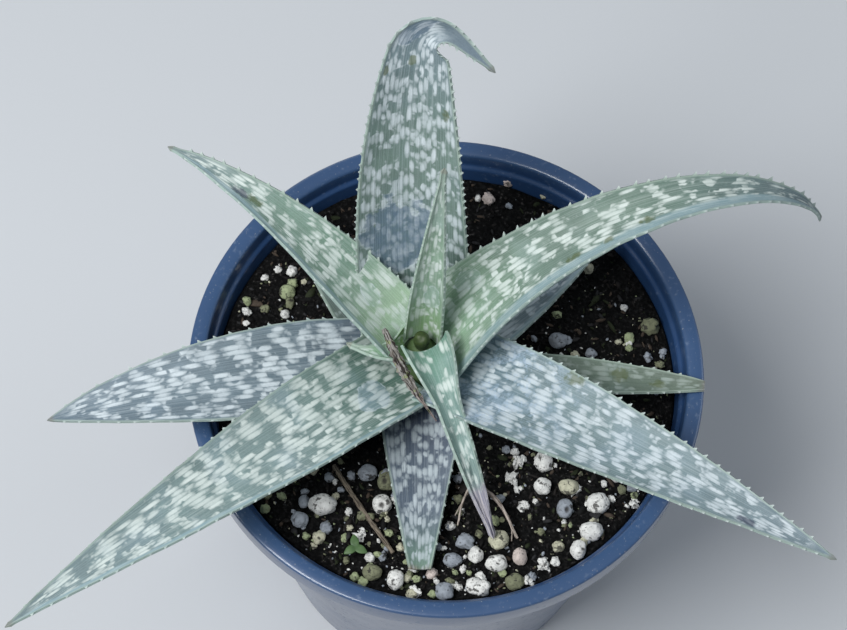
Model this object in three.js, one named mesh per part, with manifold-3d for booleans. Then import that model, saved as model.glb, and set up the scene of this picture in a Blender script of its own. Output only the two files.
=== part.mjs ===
// A snowflake aloe in a round plastic nursery pot, in millimetres, +Z up.
// The origin is the middle of the pot's foot, on the surface that the pot stands on.
// The back of the pot is +Y, and a leaf's azimuth is counted from +X towards +Y.
import * as THREE from "three";
import { mergeVertices } from "three/addons/utils/BufferGeometryUtils.js";
import Module from "manifold-3d";

const wasm = await Module();
wasm.setup();

const { lerp, mapLinear, smoothstep } = THREE.MathUtils;
const degrees = Math.PI / 180;

// The clearance between two pieces that touch
const GAP = 0.35;

// Driving dimensions of the pot
const POT_HEIGHT = 136;
const RIM_RADIUS = 80;
const RIM_BAND = 5.2;
const SKIRT_DROP = 10;
const SKIRT_WALL = 1.5;
const WALL = 1.8;
const FOOT_RADIUS = 55;
const FLOOR_THICK = 2;
const STEP_BELOW_RIM = 5;
const STEP_INSET = 1.2;
const DRAIN_HOLES = 8;
const DRAIN_RADIUS = 4.5;
const DRAIN_CIRCLE = 40;
const CHANNEL_INNER = 32;
const CHANNEL_OUTER = 48;
const CHANNEL_HEIGHT = 2.4;
const CHANNEL_SLOPE = 1.5;

// Driving dimensions of the potting mix and of the plant's stem
const HEADSPACE = 10;
const SOIL_TOP = POT_HEIGHT - HEADSPACE;
const STEM_X = -8;
const STEM_Y = 2;
const STEM_RADIUS = 9.5;
const STEM_FOOT = SOIL_TOP - 24;
const STEM_TOP = POT_HEIGHT + 13;
const BUD_RADIUS = 2.8;
const BUD_HEIGHT = 7;

const finishes = {
  pot: { color: 0x3d5480, roughness: 0.45 },
  mix: { color: 0x1f1a16, roughness: 0.95 },
  perlite: { color: 0xd8d6cf, roughness: 0.9 },
  youngLeaf: { color: 0x7d9a86, roughness: 0.6 },
  oldLeaf: { color: 0x6f7f86, roughness: 0.7 },
  bud: { color: 0x4c6a2c, roughness: 0.5 },
  stem: { color: 0x9aa77a, roughness: 0.7 },
  straw: { color: 0x9a8266, roughness: 0.9 },
  weed: { color: 0x5c8a3a, roughness: 0.6 },
};

const pottedAloe = new THREE.Group();

function add(name, solid, finish) {
  const material = new THREE.MeshStandardMaterial({ ...finish, metalness: 0 });
  const mesh = new THREE.Mesh(toGeometry(solid), material);
  mesh.name = name;
  pottedAloe.add(mesh);
}

// Booleans take a three.js geometry as a manifold solid, and give one back
function toSolid(geometry) {
  const bare = new THREE.BufferGeometry();
  bare.setAttribute("position", geometry.getAttribute("position"));
  bare.setIndex(geometry.index);
  const merged = mergeVertices(bare, 1e-4);
  const mesh = new wasm.Mesh({
    numProp: 3,
    vertProperties: new Float32Array(merged.getAttribute("position").array),
    triVerts: new Uint32Array(merged.index.array),
  });
  return new wasm.Manifold(mesh);
}

function toGeometry(solid) {
  const mesh = solid.getMesh();
  const geometry = new THREE.BufferGeometry();
  geometry.setAttribute("position", new THREE.BufferAttribute(mesh.vertProperties, 3));
  geometry.setIndex(new THREE.BufferAttribute(mesh.triVerts, 1));
  return geometry;
}

function biggestBody(solid) {
  return solid.decompose().reduce((a, b) => (a.volume() > b.volume() ? a : b));
}

// A solid of revolution about Z from a profile of [radius, height] points that runs up the outside
function turned(profile, segments) {
  const outline = profile.map(([radius, height]) => new THREE.Vector2(radius, height));
  return new THREE.LatheGeometry(outline, segments).rotateX(Math.PI / 2);
}

const ROD_SIDES = 6;

// A rod along a list of points, such as a twig, a dried root or a flat straw
function makeRod(points, width, thick, steps, grow = 0) {
  const section = new THREE.Shape();
  for (let i = 0; i < ROD_SIDES; i++) {
    const angle = (2 * Math.PI * i) / ROD_SIDES;
    const corner = [(thick / 2 + grow) * Math.cos(angle), (width / 2 + grow) * Math.sin(angle)];
    if (i === 0) section.moveTo(...corner);
    else section.lineTo(...corner);
  }
  const path = new THREE.CatmullRomCurve3(points.map((point) => new THREE.Vector3(...point)));
  const [first, last] = [path.getTangent(0), path.getTangent(1)];
  path.points.at(0).addScaledVector(first, -grow);
  path.points.at(-1).addScaledVector(last, grow);
  return toSolid(new THREE.ExtrudeGeometry(section, { steps, extrudePath: path, bevelEnabled: false }));
}

// The pot's wall tapers from the foot to the inner edge of the rim band, with a step just under the rim
const RIM_INSIDE = RIM_RADIUS - RIM_BAND;
const STEP_HEIGHT = POT_HEIGHT - STEP_BELOW_RIM;
const POT_FLOOR = CHANNEL_HEIGHT + FLOOR_THICK;

function outerWall(height) {
  const inset = height < STEP_HEIGHT ? STEP_INSET : 0;
  return mapLinear(height, 0, POT_HEIGHT, FOOT_RADIUS + STEP_INSET, RIM_INSIDE + WALL) - inset;
}

function innerWall(height) {
  return outerWall(height) - WALL;
}

// One turned piece: the foot ring and drain channel, the wall, the rim band with its skirt, the inner step
function makePot() {
  const skirtInside = RIM_RADIUS - SKIRT_WALL;
  const underRim = POT_HEIGHT - WALL;
  const skirtFoot = POT_HEIGHT - SKIRT_DROP;
  const profile = [
    [0, 0],
    [CHANNEL_INNER, 0],
    [CHANNEL_INNER + CHANNEL_SLOPE, CHANNEL_HEIGHT],
    [CHANNEL_OUTER - CHANNEL_SLOPE, CHANNEL_HEIGHT],
    [CHANNEL_OUTER, 0],
    [FOOT_RADIUS - 1, 0],
    [FOOT_RADIUS, 1],
    [outerWall(STEP_HEIGHT - 1), STEP_HEIGHT - 1],
    [outerWall(STEP_HEIGHT), STEP_HEIGHT],
    [outerWall(underRim), underRim],
    [skirtInside, underRim],
    [skirtInside, skirtFoot],
    [RIM_RADIUS - 0.5, skirtFoot],
    [RIM_RADIUS, POT_HEIGHT - 1],
    [RIM_RADIUS - 0.9, POT_HEIGHT - 0.1],
    [RIM_RADIUS - RIM_BAND / 2, POT_HEIGHT],
    [RIM_INSIDE + 0.5, POT_HEIGHT - 0.3],
    [RIM_INSIDE, POT_HEIGHT - 1.2],
    [innerWall(STEP_HEIGHT), STEP_HEIGHT],
    [innerWall(STEP_HEIGHT - 1), STEP_HEIGHT - 1],
    [innerWall(POT_FLOOR + 2), POT_FLOOR + 2],
    [innerWall(POT_FLOOR) - 1.5, POT_FLOOR],
    [0, POT_FLOOR],
  ];
  const drill = new THREE.CylinderGeometry(DRAIN_RADIUS, DRAIN_RADIUS, 3 * POT_FLOOR, 12);
  drill.rotateX(Math.PI / 2).translate(DRAIN_CIRCLE, 0, 0);
  let pot = toSolid(turned(profile, 48));
  for (let i = 0; i < DRAIN_HOLES; i++) {
    pot = pot.subtract(toSolid(drill));
    drill.rotateZ((2 * Math.PI) / DRAIN_HOLES);
  }
  return pot;
}

// The potting mix fills the pot up to the headspace under the rim
function makeMix() {
  const foot = POT_FLOOR + GAP;
  const edge = (height) => innerWall(height) - GAP;
  const profile = [
    [0, foot],
    [edge(foot) - 2, foot],
    [edge(foot + 2), foot + 2],
    [edge(SOIL_TOP - 1), SOIL_TOP - 1],
    [edge(SOIL_TOP) - 1.5, SOIL_TOP],
    [0, SOIL_TOP],
  ];
  return toSolid(turned(profile, 40));
}

// The stem is a short column on a rounded rootstock. grow makes it fatter, to cut its neighbours clear
function makeStem(grow = 0) {
  const profile = [
    [0, STEM_FOOT - grow],
    [STEM_RADIUS * 0.5 + grow, STEM_FOOT - grow + 1],
    [STEM_RADIUS * 0.9 + grow, STEM_FOOT + 8],
    [STEM_RADIUS + grow, SOIL_TOP - 2],
    [STEM_RADIUS * 0.9 + grow, SOIL_TOP + 10],
    [STEM_RADIUS * 0.5 + grow, STEM_TOP - 3],
    [STEM_RADIUS * 0.3 + grow, STEM_TOP + grow],
    [0, STEM_TOP + grow],
  ];
  return toSolid(turned(profile, 18).translate(STEM_X, STEM_Y, 0));
}

// The newest leaf is still a rolled bud on the stem's top
function makeBud(grow = 0) {
  const foot = STEM_TOP + GAP;
  const profile = [
    [0, foot - grow],
    [BUD_RADIUS * 0.8 + grow, foot - grow],
    [BUD_RADIUS + grow, foot + BUD_HEIGHT * 0.5],
    [BUD_RADIUS * 0.75 + grow, foot + BUD_HEIGHT * 0.85],
    [0, foot + BUD_HEIGHT + grow],
  ];
  return toSolid(turned(profile, 10).translate(STEM_X, STEM_Y, 0));
}

// The leaves, youngest first. A leaf's path starts at reach from the stem's middle, at height above the rim,
// and swerve is how far its azimuth turns by the tip. pitch is its slope at the base, in the middle and at
// the tip, and droop is how late it takes the tip's slope. curl is half the angle that its channel goes
// round, at the base and at the tip. taper is how late it narrows, clasp widens a base that wraps the stem,
// and end is where a dead tip broke off. A hook turns the tip sideways, in a fold that makes it narrow.
const leaves = [
  {
    name: "leaf_centre_upright", azimuth: 78.5, height: 11, reach: 4, length: 79, width: 14, taper: 1.3,
    thick: 2.6, pitch: [82, 77, 72], droop: 3, curl: [60, 40], finish: finishes.youngLeaf,
  },
  {
    name: "leaf_front_wilted", azimuth: 292, height: 18, reach: 4, length: 62, width: 8.8, taper: 2.6,
    thick: 1.6, pitch: [25, -24, -34], droop: 1, curl: [75, 60], swerve: 4, clasp: 2.1,
    finish: finishes.youngLeaf,
  },
  {
    name: "leaf_left_small", azimuth: 208, height: 13.5, reach: 5, length: 19, width: 9, taper: 1.1,
    thick: 1.8, pitch: [35, 22, 12], droop: 2, curl: [70, 50], swerve: -48, clasp: 1.8,
    finish: finishes.youngLeaf,
  },
  {
    name: "leaf_back_left", azimuth: 149, height: 11, reach: 5, length: 99, width: 25, taper: 1.4,
    thick: 4.2, pitch: [45, 40, -22], droop: 2.3, curl: [45, 35], finish: finishes.youngLeaf,
  },
  {
    name: "leaf_right_arched", azimuth: 26, height: 6, reach: 6, length: 160, width: 29, taper: 1.3,
    thick: 4.4, pitch: [66, 50, -78], droop: 1.95, curl: [40, 40], swerve: -16.5, clasp: 1.15,
    finish: finishes.youngLeaf,
  },
  {
    name: "leaf_front_left", azimuth: 222.5, height: 4, reach: 7, length: 151, width: 33.5, taper: 1.6,
    thick: 4.6, pitch: [28, 14, 4], droop: 3, curl: [30, 25], swerve: -1, finish: finishes.youngLeaf,
  },
  {
    name: "leaf_front_right", azimuth: 329.5, height: 6, reach: 8, length: 137, width: 34, taper: 1.6,
    thick: 4.6, pitch: [28, 14, 4], droop: 2, curl: [30, 25], finish: finishes.oldLeaf,
  },
  {
    name: "leaf_back_tall", azimuth: 102, height: 1, reach: 8, length: 134, width: 36, taper: 2.8,
    thick: 4.6, pitch: [58, 63, 50], droop: 3, curl: [35, 40], swerve: -24, clasp: 1,
    hook: { from: 0.755, to: 0.895, turn: -124, narrow: 0.45 }, rows: 24, finish: finishes.oldLeaf,
  },
  {
    name: "leaf_left", azimuth: 193, height: 1, reach: 8, length: 110, width: 33, taper: 2.6,
    thick: 4.4, pitch: [22, 10, -20], droop: 2, curl: [25, 20], finish: finishes.oldLeaf,
  },
  {
    name: "leaf_back_right_low", azimuth: 37, height: -1, reach: 8, length: 64, width: 28, taper: 1.8,
    thick: 3.4, pitch: [20, 4, 0], droop: 1.5, curl: [30, 25], finish: finishes.oldLeaf,
  },
  {
    name: "leaf_front_short", azimuth: 272, height: -2, reach: 8, length: 73, width: 30, taper: 1.05,
    thick: 3.2, pitch: [0, -3, -6], droop: 1.5, curl: [25, 20], end: 0.79, finish: finishes.oldLeaf,
  },
  {
    name: "leaf_right_short", azimuth: 357, height: -3, reach: 8, length: 87, width: 13.5, taper: 3,
    thick: 3, pitch: [6, 4, 0], droop: 1.5, curl: [30, 25], end: 0.92, finish: finishes.oldLeaf,
  },
  {
    name: "leaf_back_left_low", azimuth: 132, height: -1.5, reach: 8, length: 58, width: 29, taper: 1.8,
    thick: 2.8, pitch: [18, 4, 0], droop: 1.5, curl: [25, 20], finish: finishes.oldLeaf,
  },
];

// A leaf's solid is a box with ACROSS strips over its width, and every row is moved to its place on the path
const ROWS = 12;
const ACROSS = 6;
const WIDEST_ANGLE = 77 * degrees;
const STEPS_PER_ROW = 10;
const EDGE_THICK = 0.8;
const TIP_HALF_WIDTH = 0.6;

function halfWidth(leaf, t) {
  const clasp = leaf.clasp ?? 0.92;
  const swell = lerp(clasp, 1, smoothstep(t, 0, 0.35));
  const fold = leaf.hook ? lerp(1, leaf.hook.narrow, smoothstep(t, leaf.hook.from, leaf.hook.to)) : 1;
  return Math.max(TIP_HALF_WIDTH, (leaf.width / 2) * swell * fold * (1 - t ** leaf.taper));
}

function fullThickness(leaf, t) {
  const swell = 0.65 + 0.35 * Math.sin(Math.PI * Math.min(1, t * 1.6));
  return Math.max(EDGE_THICK + 0.1, leaf.thick * swell * (1 - t ** 2.5));
}

// The path's direction at t, with the leaf's sideways and upward directions there
function leafFrame(leaf, t) {
  const [base, middle, tip] = leaf.pitch;
  const pitch = (middle + (base - middle) * (1 - t) ** 6 + (tip - middle) * t ** leaf.droop) * degrees;
  const azimuth = (leaf.azimuth + (leaf.swerve ?? 0) * t) * degrees;
  const along = new THREE.Vector3(
    Math.cos(pitch) * Math.cos(azimuth),
    Math.cos(pitch) * Math.sin(azimuth),
    Math.sin(pitch),
  );
  const side = new THREE.Vector3(Math.sin(azimuth), -Math.cos(azimuth), 0);
  const up = new THREE.Vector3().crossVectors(side, along);
  if (leaf.hook) {
    const turn = leaf.hook.turn * smoothstep(t, leaf.hook.from, leaf.hook.to) * degrees;
    along.applyAxisAngle(up, turn);
    side.applyAxisAngle(up, turn);
  }
  return { along, side, up };
}

function leafRows(leaf) {
  const end = leaf.end ?? 0.985;
  const point = new THREE.Vector3(leaf.reach, 0, leaf.height);
  point.applyAxisAngle(new THREE.Vector3(0, 0, 1), leaf.azimuth * degrees);
  point.add(new THREE.Vector3(STEM_X, STEM_Y, POT_HEIGHT));
  const rows = [];
  const steps = (leaf.rows ?? ROWS) * STEPS_PER_ROW;
  for (let i = 0; i <= steps; i++) {
    const t = (i / steps) * end;
    const frame = leafFrame(leaf, t);
    if (i % STEPS_PER_ROW === 0) rows.push({ t, point: point.clone(), ...frame });
    point.addScaledVector(frame.along, (leaf.length * end) / steps);
  }
  return rows;
}

// A leaf's upper face is a channel, and its lower face bulges most under the middle
function makeLeaf(leaf, grow = 0) {
  const rows = leafRows(leaf);
  rows.at(0).point.addScaledVector(rows.at(0).along, -grow);
  rows.at(-1).point.addScaledVector(rows.at(-1).along, grow);
  const blade = new THREE.BoxGeometry(2, 1, 2, ACROSS, rows.length - 1, 1);
  const corners = blade.getAttribute("position");
  for (let i = 0; i < corners.count; i++) {
    const row = rows[Math.round((0.5 - corners.getY(i)) * (rows.length - 1))];
    const half = halfWidth(leaf, row.t);
    const curl = lerp(leaf.curl[0], leaf.curl[1], row.t) * degrees;
    const across = -Math.sin(corners.getX(i) * WIDEST_ANGLE) / Math.sin(WIDEST_ANGLE);
    const face = Math.sign(corners.getZ(i));
    const flesh = (fullThickness(leaf, row.t) - EDGE_THICK) * Math.max(0, 1 - across ** 2) ** 0.8;
    const depth = ((EDGE_THICK + flesh) * (1 - face)) / 2 - face * grow;
    const bend = half / curl;
    const angle = curl * across * (1 + grow / half);
    const corner = row.point.clone();
    corner.addScaledVector(row.side, (bend + depth) * Math.sin(angle));
    corner.addScaledVector(row.up, bend - (bend + depth) * Math.cos(angle));
    corners.setXYZ(i, corner.x, corner.y, corner.z);
  }
  return toSolid(blade);
}

const DRIED_LEAF_WIDTH = 3.4;
const DRIED_LEAF_THICK = 1;

// The dried remains of an old leaf lie over the crown, from left of the bud down beside the wilted leaf
function makeDriedLeaf(grow = 0) {
  const points = [
    [-19.5, 3.5, POT_HEIGHT + 21],
    [-14.5, -6.5, POT_HEIGHT + 19],
    [-10, -13, POT_HEIGHT + 15.5],
    [-2.5, -21, POT_HEIGHT + 9],
  ];
  return makeRod(points, DRIED_LEAF_WIDTH, DRIED_LEAF_THICK, 8, grow);
}

// What lies on the mix: the largest perlite grains, by place and radius
const grains = [
  [-36, -43, 3.8], [-42, -42, 1.9], [-43, -48, 2.6], [-23, -32, 2.8], [-17, -34, 3.0], [-18, -42, 2.9],
  [-20, -64, 2.6], [-13, -66, 3.0], [2, -69, 2.8], [4, -59, 2.6], [11, -57, 2.4], [18, -52, 3.0],
  [17.5, -59.5, 2.9], [24.5, -57, 2.6], [11, -67, 2.8], [23, -65, 2.8], [31, -26, 3.0], [31, -34, 2.6],
  [39, -34, 2.7], [38, -41, 2.9], [48, -39, 3.3], [46, -48, 3.4], [42, -54, 2.7], [-51, 28, 2.4],
  [35, 15, 2.7],
];
const GRAIN_LIFT = 0.45;

function makeGrain([x, y, radius], number, grow = 0) {
  const grain = new THREE.IcosahedronGeometry(1, 1);
  const corners = grain.getAttribute("position");
  for (let i = 0; i < corners.count; i++) {
    const corner = new THREE.Vector3().fromBufferAttribute(corners, i);
    const lump = 1 + 0.07 * Math.sin(4 * corner.x + 2 * number) * Math.cos(3 * corner.y - number);
    corner.multiplyScalar(radius * lump + grow);
    corners.setXYZ(i, corner.x, corner.y, corner.z * 0.9);
  }
  return toSolid(grain.translate(x, y, SOIL_TOP + radius * GRAIN_LIFT));
}

const TWIG_THICK = 1.8;

function makeTwig() {
  const height = SOIL_TOP + TWIG_THICK / 2 + GAP;
  const points = [[-33.5, -30, height], [-25, -42.5, height], [-14, -57.5, height]];
  return makeRod(points, TWIG_THICK, TWIG_THICK, 6);
}

// A seedling of a weed, with three round leaves on a short stalk
function makeWeed() {
  const stalk = new THREE.CylinderGeometry(0.5, 0.6, 4, 6).rotateX(Math.PI / 2);
  let weed = toSolid(stalk.translate(0, 0, 2));
  for (const turn of [100, 215, 335]) {
    const lobe = new THREE.SphereGeometry(1, 10, 6).scale(2.2, 1.7, 0.5);
    weed = weed.add(toSolid(lobe.translate(1.9, 0, 3.8).rotateZ(turn * degrees)));
  }
  return weed.translate([-25.5, -57, SOIL_TOP + GAP]);
}

// Two dried roots run from under the wilted leaf to the mix
const ROOT_THICK = 0.8;
const ROOT_FOOT = SOIL_TOP + 0.9;
const driedRoots = {
  dried_root_left: [[9, -38, POT_HEIGHT + 3.4], [6.5, -42, POT_HEIGHT - 4], [5.3, -47.5, ROOT_FOOT]],
  dried_root_right: [[11, -38.5, POT_HEIGHT + 3.4], [18, -43, POT_HEIGHT - 3], [23.5, -51, ROOT_FOOT]],
};

add("pot", makePot(), finishes.pot);

// Each pocket in the mix holds what stands in it
let mix = makeMix().subtract(makeStem(GAP));
for (const [number, grain] of grains.entries()) mix = mix.subtract(makeGrain(grain, number, GAP));
add("potting_mix", mix, finishes.mix);

for (const [number, grain] of grains.entries()) {
  add(`perlite_grain_${number + 1}`, makeGrain(grain, number), finishes.perlite);
}
add("twig", makeTwig(), finishes.straw);
add("weed_seedling", makeWeed(), finishes.weed);
for (const [name, points] of Object.entries(driedRoots)) {
  add(name, makeRod(points, ROOT_THICK, ROOT_THICK, 8), finishes.straw);
}

add("stem", makeStem(), finishes.stem);
add("new_leaf_bud", makeBud(), finishes.bud);
add("dried_leaf", makeDriedLeaf(), finishes.straw);

// Older leaves stand under younger ones, so each is cut clear of all that grow above it
const above = [makeStem(GAP), makeBud(GAP), makeDriedLeaf(GAP)];
for (const leaf of leaves) {
  let blade = makeLeaf(leaf);
  for (const neighbour of above) blade = blade.subtract(neighbour);
  add(leaf.name, biggestBody(blade), leaf.finish);
  above.push(makeLeaf(leaf, GAP));
}

export default pottedAloe;
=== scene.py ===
# A snowflake aloe in its nursery pot, put together from the pot upwards.
import math
import random

import bmesh
import bpy
import numpy as np
from mathutils import Matrix, Vector, noise


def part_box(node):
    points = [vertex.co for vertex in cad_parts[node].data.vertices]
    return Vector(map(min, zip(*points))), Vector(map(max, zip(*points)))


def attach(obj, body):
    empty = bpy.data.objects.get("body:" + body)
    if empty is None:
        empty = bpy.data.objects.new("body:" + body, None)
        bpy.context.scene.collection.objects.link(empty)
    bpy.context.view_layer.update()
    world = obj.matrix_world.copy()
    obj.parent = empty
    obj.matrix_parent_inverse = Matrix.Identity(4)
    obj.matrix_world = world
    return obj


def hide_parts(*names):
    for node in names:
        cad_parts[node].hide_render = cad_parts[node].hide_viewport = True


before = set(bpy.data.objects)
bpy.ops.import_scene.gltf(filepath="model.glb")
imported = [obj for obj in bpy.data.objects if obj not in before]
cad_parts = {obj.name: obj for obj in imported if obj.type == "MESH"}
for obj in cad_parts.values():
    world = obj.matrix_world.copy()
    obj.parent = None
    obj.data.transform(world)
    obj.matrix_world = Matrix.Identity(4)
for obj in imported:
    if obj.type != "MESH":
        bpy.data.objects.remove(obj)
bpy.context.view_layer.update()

# The camera
# It looks down on the pot from the front, with a long lens and a slight roll, and the
# middle of the pot's rim falls on a known pixel.
mm = 0.001
pot_low, pot_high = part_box("pot")
rim_height = pot_high.z
rim_radius = (pot_high.x - pot_low.x) / 2

image_width, image_height = 847, 630
rim_middle_pixel = (446.3, 369)
focal_pixels = 2586
view_down = math.radians(66)
view_roll = math.radians(2.3)
view_distance = 0.8
sensor_width = 36

forward = Vector((0, math.cos(view_down), -math.sin(view_down)))
level = Vector((1, 0, 0))
upright = level.cross(forward)
view_right = level * math.cos(view_roll) + upright * math.sin(view_roll)
view_up = upright * math.cos(view_roll) - level * math.sin(view_roll)


def sight_line(pixel_x, pixel_y):
    """The direction from the camera through a pixel of the photograph."""
    across = (pixel_x - image_width / 2) / focal_pixels
    down = (pixel_y - image_height / 2) / focal_pixels
    return (forward + view_right * across - view_up * down).normalized()


eye = Vector((0, 0, rim_height)) - sight_line(*rim_middle_pixel) * view_distance
camera_data = bpy.data.cameras.new("camera")
camera_data.sensor_fit = "HORIZONTAL"
camera_data.sensor_width = sensor_width
camera_data.lens = focal_pixels / image_width * sensor_width
camera = bpy.data.objects.new("camera", camera_data)
bpy.context.scene.collection.objects.link(camera)
turn = Matrix((view_right, view_up, -forward)).transposed().to_4x4()
camera.matrix_world = Matrix.Translation(eye) @ turn
bpy.context.scene.camera = camera


# The studio
# A plain pale floor under the pot, a large softbox over it to the left, weaker ones on the
# right and at the back, and an even pale surround.
softbox_side = 0.6
floor_size = 4


def softbox(name, place, watts, colour):
    """A square lamp that points at the middle of the pot's rim."""
    data = bpy.data.lights.new(name, "AREA")
    data.shape = "SQUARE"
    data.size = softbox_side
    data.energy = watts
    data.color = colour
    lamp = bpy.data.objects.new(name, data)
    lamp.location = place
    to_pot = Vector((0, 0, rim_height)) - Vector(place)
    lamp.rotation_euler = to_pot.to_track_quat("-Z", "Y").to_euler()
    bpy.context.scene.collection.objects.link(lamp)


softbox("softbox_left", (-0.5, -0.3, 1.1), 13.5, (0.98, 0.99, 1))
softbox("softbox_right", (0.9, 0.25, 0.8), 2.2, (0.9, 0.95, 1))
softbox("softbox_back", (-0.3, 1.1, 0.6), 1.5, (0.85, 0.92, 1))

surround = bpy.data.worlds.new("surround")
surround.use_nodes = True
sky = surround.node_tree.nodes["Background"]
sky.inputs["Color"].default_value = (0.82, 0.9, 1, 1)
sky.inputs["Strength"].default_value = 0.2
bpy.context.scene.world = surround
bpy.context.scene.view_settings.view_transform = "Standard"

floor_shape = bmesh.new()
bmesh.ops.create_grid(floor_shape, x_segments=1, y_segments=1, size=floor_size / 2)
floor_mesh = bpy.data.meshes.new("floor")
floor_shape.to_mesh(floor_mesh)
floor_shape.free()
floor = bpy.data.objects.new("floor", floor_mesh)
bpy.context.scene.collection.objects.link(floor)
floor_paint = bpy.data.materials.new("floor_paint")
floor_paint.use_nodes = True
floor_shader = floor_paint.node_tree.nodes["Principled BSDF"]
floor_shader.inputs["Base Color"].default_value = (0.62, 0.64, 0.66, 1)
floor_shader.inputs["Roughness"].default_value = 0.8
floor_mesh.materials.append(floor_paint)


# The pot
# One piece of blue plastic, injection moulded: a tapered wall with a step just under the
# rim, a crowned rim band with a skirt outside, and a foot ring with drain holes inside it.
class Wire:
    """An output of a shader node. Sums on it add Math nodes."""

    def __init__(self, finish, socket):
        self.finish = finish
        self.socket = socket

    def __add__(self, other):
        return self.finish.maths("ADD", self, other)

    def __radd__(self, other):
        return self.finish.maths("ADD", other, self)

    def __sub__(self, other):
        return self.finish.maths("SUBTRACT", self, other)

    def __rsub__(self, other):
        return self.finish.maths("SUBTRACT", other, self)

    def __mul__(self, other):
        return self.finish.maths("MULTIPLY", self, other)

    def __rmul__(self, other):
        return self.finish.maths("MULTIPLY", other, self)

    def __truediv__(self, other):
        return self.finish.maths("DIVIDE", self, other)


class Finish:
    """A material built round one Principled shader. gloss is its specular level."""

    def __init__(self, name, gloss, **constants):
        self.material = bpy.data.materials.new(name)
        self.material.use_nodes = True
        self.tree = self.material.node_tree
        self.shader = self.tree.nodes["Principled BSDF"]
        self.shader.inputs["Specular IOR Level"].default_value = gloss
        for socket, value in constants.items():
            self.shader.inputs[socket.replace("_", " ")].default_value = value
        self.place = self.node("TexCoord", {}, {}, "Object")

    def node(self, kind, settings, sockets, output):
        """Adds a node: its settings first, then a value or a wire for each socket."""
        made = self.tree.nodes.new("ShaderNode" + kind)
        for setting, value in settings.items():
            setattr(made, setting, value)
        for key, value in sockets.items():
            named = [s for s in made.inputs if key == s.identifier or (key == s.name and s.enabled)]
            self.plug(value, named[0])
        return Wire(self, next(s for s in made.outputs if s.enabled and output in (s.identifier, s.name)))

    def plug(self, value, socket):
        if isinstance(value, Wire):
            self.tree.links.new(value.socket, socket)
        elif socket.type == "RGBA":
            socket.default_value = (*value[:3], 1)
        else:
            socket.default_value = value

    def maths(self, operation, *values):
        slots = dict(zip(("Value", "Value_001"), values))
        return self.node("Math", {"operation": operation}, slots, "Value")

    def rise(self, value, low, high):
        """0 below low and 1 above high, with a soft step. It falls instead, if low is the larger."""
        span = {"Value": value, "From Min": low, "From Max": high}
        return self.node("MapRange", {"interpolation_type": "SMOOTHSTEP"}, span, "Result")

    def cloud(self, size, detail=2):
        """Soft noise from 0 to 1, with lumps of about that size in metres."""
        sockets = {"Vector": self.place, "Scale": 1 / size, "Detail": detail}
        return self.node("TexNoise", {}, sockets, "Fac")

    def blend(self, share, first, second):
        sockets = {"Factor_Float": share, "A_Color": first, "B_Color": second}
        return self.node("Mix", {"data_type": "RGBA"}, sockets, "Result_Color")

    def shade(self, colour, factor):
        """A colour made lighter or darker by a factor."""
        sockets = {"Vector": colour, "Scale": factor}
        return self.node("VectorMath", {"operation": "SCALE"}, sockets, "Vector")

    def read(self, attribute, output="Fac"):
        return self.node("Attribute", {"attribute_name": attribute}, {}, output)

    def part(self, axis):
        """One of the place's three numbers."""
        return self.node("SeparateXYZ", {}, {"Vector": self.place}, axis)

    def paint(self, colour, roughness, height, depth):
        """Sets the colour and roughness, and a bump of that depth in metres."""
        self.plug(colour, self.shader.inputs["Base Color"])
        self.plug(roughness, self.shader.inputs["Roughness"])
        sockets = {"Height": height, "Distance": depth, "Strength": 1}
        self.plug(self.node("Bump", {}, sockets, "Normal"), self.shader.inputs["Normal"])


def add_piece(shape, name, finish, slot, *nodes, sharp=50):
    """Makes an object of a bmesh. It rides on the plant and stands for those CAD nodes."""
    mesh = bpy.data.meshes.new(name)
    shape.to_mesh(mesh)
    shape.free()
    mesh.shade_smooth()
    mesh.set_sharp_from_angle(angle=math.radians(sharp))
    mesh.materials.append(finish.material)
    piece = bpy.data.objects.new(name, mesh)
    bpy.context.scene.collection.objects.link(piece)
    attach(piece, "root")
    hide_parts(*nodes)


def rounded(corners, steps=5):
    """An outline of (radius, height, fillet) corners, each fillet as a curve of a few points."""
    points = []
    for i, (radius, height, fillet) in enumerate(corners):
        corner = Vector((radius, height))
        if fillet == 0:
            points.append(corner)
            continue
        before = Vector(corners[i - 1][:2]) - corner
        after = Vector(corners[i + 1][:2]) - corner
        start = corner + before.normalized() * min(fillet, before.length / 2)
        end = corner + after.normalized() * min(fillet, after.length / 2)
        for step in range(steps + 1):
            share = step / steps
            points.append(start.lerp(corner, share).lerp(corner.lerp(end, share), share))
    return points


def spun(points, steps, middle=Vector((0, 0, 0))):
    """A closed solid of revolution about an upright axis, from an outline that ends on the axis."""
    shape = bmesh.new()
    verts = [shape.verts.new((point.x, 0, point.y)) for point in points]
    edges = [shape.edges.new(pair) for pair in zip(verts, verts[1:])]
    round_axis = {"cent": (0, 0, 0), "axis": (0, 0, 1), "angle": 2 * math.pi}
    bmesh.ops.spin(shape, geom=verts + edges, steps=steps, use_merge=True, **round_axis)
    bmesh.ops.remove_doubles(shape, verts=shape.verts, dist=0.001 * mm)
    bmesh.ops.recalc_face_normals(shape, faces=shape.faces)
    bmesh.ops.translate(shape, verts=shape.verts, vec=middle)
    return shape


wall = 1.8 * mm
rim_band = 5.2 * mm
skirt_drop = 10 * mm
skirt_wall = 1.5 * mm
step_height = rim_height - 5 * mm
step_inset = 1.2 * mm
foot_radius = 55 * mm
channel_inner = 32 * mm
channel_outer = 48 * mm
channel_height = 2.4 * mm
pot_floor = channel_height + 2 * mm
hole_count = 8
hole_radius = 4.5 * mm
hole_circle = 40 * mm
pot_steps = 144
rim_inside = rim_radius - rim_band


def wall_outside(height):
    inset = step_inset if height < step_height else 0
    slant = rim_inside + wall - foot_radius - step_inset
    return foot_radius + step_inset + slant * height / rim_height - inset


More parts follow.
